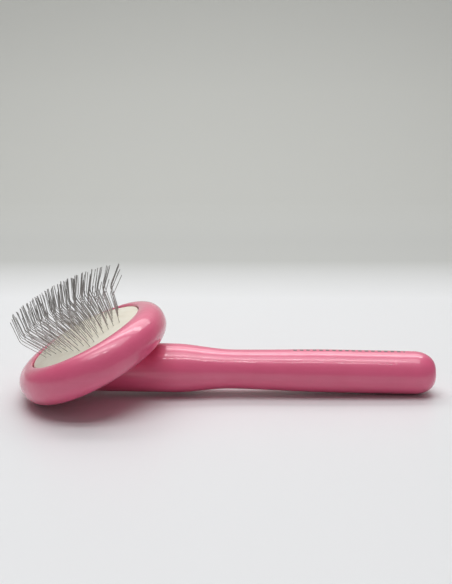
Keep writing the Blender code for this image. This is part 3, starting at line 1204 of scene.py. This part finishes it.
    def _world(self, places: Array) -> Array:
        """Places in the field as points in the frame's coordinates."""
        u, v = self.to_head(places[..., 0], places[..., 1])
        return self.head.world(u, v, places[..., 2])


@dataclass
class PadLayers:
    """The pad's rubber face, its cotton backing and the foam under them."""

    head: HeadSpace
    sizes: DishSizes
    sectors: int = 456
    face_rings: int = 96
    edge_steps: int = 5
    edge_round: float = 0.00045
    collar: float = 0.00050        # radius of the rubber drawn up round a wire
    collar_height: float = 0.00022
    pit: float = 0.00030           # radius of the pit in it
    pit_share: float = 1.5         # the pit's depth over the collar's height
    sharp: float = 50.0
    under_rings: int = 14
    under_inner: float = 0.05      # share of the oval where the underside starts
    cloth_rings: int = 24
    cloth_sectors: int = 160
    foam_rings: int = 22
    foam_inner: float = 0.08       # share of the oval where the foam's rings start
    foam_side: int = 10
    foam_sectors: int = 144
    foam_pull: float = 0.0004      # how far its side pulls in
    foam_corner: float = 0.0001    # how far its edges do
    foam_fill: float = 0.9

    def build_face(self, rubber: Material, pins: PinField) -> Object:
        """The domed rubber face with a small pierced collar round every wire.

        Its height is the dome plus, for each wire, height times e to the minus
        (distance / collar) squared, less pit_share times the same with the
        pit's radius.

        Args:
            rubber: the finish.
            pins: the field whose wires pierce the face.

        Returns:
            The face.
        """
        rows, base = self._layer(self.sizes.face, self.face_rings)
        u, v = oval_rings(rows[:, 0], rows[:, 1], rows[:, 2], self.sectors)
        n = self.sizes.face_edge + base[:, None] + self.sizes.rise(u, v)
        top = slice(0, self.face_rings)
        n[top] += self._collars(u[top], v[top], *pins.face_places())
        peak = self.sizes.face_edge + self.sizes.dome
        piece = self.head.skin("rubber_face", (u, v, n), (peak, peak - self.sizes.face), self.sharp)
        return dress(piece, rubber, PAD_BODY, ["pad_face"])

    def build_cloth(self, cotton: Material) -> Object:
        """The cotton backing, stretched over the cushion's dome.

        Args:
            cotton: the finish.

        Returns:
            The cloth.
        """
        rows, base = self._layer(self.sizes.cloth, self.cloth_rings)
        u, v = oval_rings(rows[:, 0], rows[:, 1], rows[:, 2], self.cloth_sectors)
        n = self.sizes.cloth_edge + base[:, None] + self.sizes.rise(u, v)
        peak = self.sizes.cloth_edge + self.sizes.dome
        piece = self.head.skin("cotton_backing", (u, v, n), (peak, peak - self.sizes.cloth), self.sharp)
        return dress(piece, cotton, PAD_BODY, ["pad_cloth"])

    def build_cushion(self, foam: Material) -> Object:
        """The foam: its top follows the dome, and its side pulls in at half its height.

        Args:
            foam: the finish.

        Returns:
            The cushion.
        """
        sizes = self.sizes
        half_u, half_v = (half - sizes.cushion_clearance for half in sizes.recess)
        bottom = sizes.recess_floor + GAP
        share = spread(self.foam_inner, 1.0, self.foam_rings)
        side = spread(0.0, 1.0, self.foam_side)[1:-1]
        pull = -self.foam_pull * np.sin(math.pi * side)
        half = np.concatenate([share, np.ones(len(side)), share[::-1]])
        outward = np.concatenate([np.zeros(len(share)), pull, np.zeros(len(share))])
        outward[len(share) - 1] = outward[len(share) + len(side)] = -self.foam_corner
        u, v = oval_rings(half * half_u, half * half_v, outward, self.foam_sectors)
        upper = sizes.cushion_edge + sizes.rise(u, v)
        depth = np.concatenate([np.zeros(len(share)), side, np.ones(len(share))])[:, None]
        rings = (u, v, upper * (1.0 - depth) + bottom * depth)
        piece = self.head.skin("foam_cushion", rings, (sizes.cushion_edge + sizes.dome, bottom), self.sharp)
        dress(piece, foam, BRUSH_BODY, ["cushion"])
        tuple(self.head.world(0.0, 0.0, bottom))
        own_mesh(piece)
        return piece

    def _layer(self, thickness: float, rings: int) -> tuple[Array, Array]:
        """A layer's profile: over the top, round its edge, down the side and back underneath.

        Args:
            thickness: the layer's thickness.
            rings: how many rings its top has.

        Returns:
            Rows of half length, half width and offset, and heights under the top.
        """
        half_u, half_v = (half - self.sizes.pad_clearance for half in self.sizes.recess)
        inner_u, inner_v = half_u - self.edge_round, half_v - self.edge_round
        share = spread(1.0 / rings, 1.0, rings)
        quarter = spread(0.0, math.pi / 2, self.edge_steps)[1:]
        under = spread(1.0, self.under_inner, self.under_rings)
        scale = np.concatenate([share, np.ones(self.edge_steps - 1), under])
        outward = np.concatenate([np.zeros(rings), self.edge_round * np.sin(quarter),
                                  np.where(under == 1.0, self.edge_round, 0.0)])
        base = np.concatenate([np.zeros(rings), -self.edge_round * (1.0 - np.cos(quarter)),
                               np.full(len(under), -thickness)])
        return np.stack([scale * inner_u, scale * inner_v, outward], axis=-1), base

    def _collars(self, u: Array, v: Array, pin_u: Array, pin_v: Array) -> Array:
        """Sum over the wires of their collars and pits.

        Args:
            u: places up the tilt.
            v: places across.
            pin_u: the wires' places up the tilt.
            pin_v: their places across.

        Returns:
            The height at each place.
        """
        height = np.zeros_like(u)
        for place_u, place_v in zip(pin_u, pin_v):
            square = (u - place_u) ** 2 + (v - place_v) ** 2
            height += self.collar_height * (np.exp(-square / self.collar ** 2)
                                            - self.pit_share * np.exp(-square / self.pit ** 2))
        return height


@dataclass
class Fasteners:
    """The screws and dowels, whose own solids are shown with a finish."""

    screws: tuple[str, ...] = ("head_screw_rear", "head_screw_front")
    dowels: tuple[str, ...] = ("head_dowel_left", "head_dowel_right")

    def dress(self, zinc: Material, beech: Material) -> None:
        """Give each fastener's slots their finish.

        Args:
            zinc: for the screws.
            beech: for the dowels.
        """
        for names, material in ((self.screws, zinc), (self.dowels, beech)):
            for name in names:
                for slot in frame["nodes"][name].material_slots:
                    slot.material = material


# Studio

@dataclass(frozen=True)
class Lamp:
    """A rectangular soft light."""

    name: str
    place: tuple[float, float, float]
    aim: tuple[float, float, float]
    size: tuple[float, float]
    power: float
    colour: Colour = (1.0, 1.0, 1.0)


@dataclass
class Studio:
    """A pale floor that sweeps up into a wall, soft lights overhead, and the camera."""

    camera_place: tuple[float, float, float] = (0.00077, -0.4780, 0.1486)
    camera_aim: tuple[float, float, float] = (0.00077, 0.0, 0.0513)
    lens: float = 61.64
    wall: float = 1.30             # y of the wall
    sweep: float = 0.50            # radius between floor and wall
    half_width: float = 3.0
    front: float = -3.0
    height: float = 2.5
    lamps: tuple[Lamp, ...] = (
        Lamp("panel", (-0.06, 0.020, 1.00), (-0.06, 0.02, 0.0), (1.10, 0.45), 3.3),
        Lamp("back_panel", (-0.06, 0.620, 0.82), (-0.06, 0.0, 0.0), (1.30, 0.55), 4.1),
        Lamp("front_bar", (-0.05, -0.330, 0.98), (-0.05, -0.05, 0.0), (0.66, 0.012), 1.5),
        Lamp("back_bar", (-0.05, -0.040, 0.96), (-0.05, 0.0, 0.0), (0.66, 0.012), 1.0),
        Lamp("wall_wash", (0.0, 0.85, 1.30), (0.0, 1.10, 0.1), (1.8, 0.30), 5.7),
    )
    ambient: float = 0.22

    def build(self) -> None:
        """Set up the sweep, the lamps, the ambient light and the camera."""
        self._sweep()
        for lamp in self.lamps:
            self._lamp(lamp)
        self._ambient()
        self._camera()

    def _sweep(self) -> None:
        """Floor, quarter circle and wall: a profile in y and z carried along x."""
        angle = spread(0.0, math.pi / 2, 24)
        y = np.concatenate([[self.front], self.wall - self.sweep + self.sweep * np.sin(angle), [self.wall]])
        z = np.concatenate([[0.0], self.sweep * (1.0 - np.cos(angle)), [self.height]])
        x = spread(-self.half_width, self.half_width, 2)
        points = np.stack(np.broadcast_arrays(x[None, :], y[:, None], z[:, None]), axis=-1).reshape(-1, 3)
        first = np.arange(len(y) - 1) * 2
        faces = np.stack([first, first + 1, first + 3, first + 2], axis=-1).tolist()
        mesh = bpy.data.meshes.new("sweep")
        mesh.from_pydata(points.tolist(), [], faces)
        mesh.shade_smooth()
        mesh.materials.append(self._paper())
        item = bpy.data.objects.new("sweep", mesh)
        link(item)

    @staticmethod
    def _paper() -> Material:
        """Pale matt board in front; further back it is painted a little warmer and darker as shade, and
        paler again up the wall as painted light.

        Returns:
            The material.
        """
        make = Recipe("pale_board")
        depth = make.add("SeparateXYZ", None, {"Vector": make.place}).outputs["Y"]
        # share from the pale front into the painted shade at the back, which also sets the roughness
        back = make.ranged(depth, 0.0, 1.0, 0.23, 0.39)
        wall_light_share = make.ranged(depth, 0.0, 1.0, 0.5, 1.15)
        # painted shade at the back of the sweep, turning to painted light higher up the wall
        wall_shade_and_light = make.blend(wall_light_share, (0.465, 0.47, 0.455), (0.63, 0.635, 0.605))
        colour = make.blend(back, (0.79, 0.795, 0.81), wall_shade_and_light)
        gloss = make.ranged(back, 0.34, 0.7)
        make.set(Specular_IOR_Level=0.35)
        bump = make.raised(make.noise(300.0, 2.0), 0.0001, None, 0.05)
        return make.connect(Base_Color=colour, Roughness=gloss, Normal=bump)

    @staticmethod
    def _lamp(lamp: Lamp) -> None:
        """Add an area light that faces its aim.

        Args:
            lamp: what it is.
        """
        data = bpy.data.lights.new(lamp.name, "AREA")
        data.shape = "RECTANGLE"
        data.size, data.size_y = lamp.size
        data.energy = lamp.power
        data.color = lamp.colour
        item = bpy.data.objects.new(lamp.name, data)
        item.location = lamp.place
        item.rotation_euler = (Vector(lamp.aim) - Vector(lamp.place)).to_track_quat("-Z", "Y").to_euler()
        link(item)

    def _ambient(self) -> None:
        """Even light from all round."""
        world = bpy.data.worlds.new("room")
        world.use_nodes = True
        background = world.node_tree.nodes["Background"]
        background.inputs["Color"].default_value = (1.0, 1.0, 1.0, 1.0)
        background.inputs["Strength"].default_value = self.ambient
        bpy.context.scene.world = world
        bpy.context.scene.view_settings.view_transform = "Standard"

    def _camera(self) -> None:
        """The camera, a little above the brush and level with the horizon."""
        data = bpy.data.cameras.new("camera")
        data.lens = self.lens
        item = bpy.data.objects.new("camera", data)
        item.location = self.camera_place
        aim = Vector(self.camera_aim) - Vector(self.camera_place)
        item.rotation_euler = aim.to_track_quat("-Z", "Y").to_euler()
        link(item)
        bpy.context.scene.camera = item


@dataclass
class Brush:
    """The whole brush, assembled from its parts."""

    head: HeadSpace = field(default_factory=HeadSpace.from_frame)
    dish: DishSizes = field(default_factory=DishSizes)

    def build(self) -> list[Object]:
        """Build and dress every piece.

        Returns:
            The new pieces.
        """
        lacquer = Lacquer()
        holes = FastenerHoles(self.head, self.dish)
        pins = PinField(self.head, self.dish)
        layers = PadLayers(self.head, self.dish)
        made = [HeadDish(self.head, self.dish).build(lacquer.material("dish_lacquer"), holes),
                WoodenHandle(self.head, self.dish).build(lacquer.material("handle_lacquer", Print()), holes)]
        cushion = layers.build_cushion(OpenFoam().material("foam"))
        made += [cushion,
                 layers.build_cloth(WovenCotton().material("cotton", self.head.tilt)),
                 layers.build_face(PadRubber().material("cream_rubber"), pins)]
        made += pins.build(WireSteel().material("wire_steel"))
        Fasteners().dress(ZincPlate().material("zinc"), RawBeech().material("beech", self.head.tilt))
        return made


def main() -> None:
    logging.basicConfig(level=logging.INFO, format="%(name)s: %(message)s")
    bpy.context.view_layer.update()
    for piece in Brush().build():
        LOG.info("%s: %d faces", piece.name, len(piece.data.polygons))
    Studio().build()


if __name__ == "__main__":
    main()
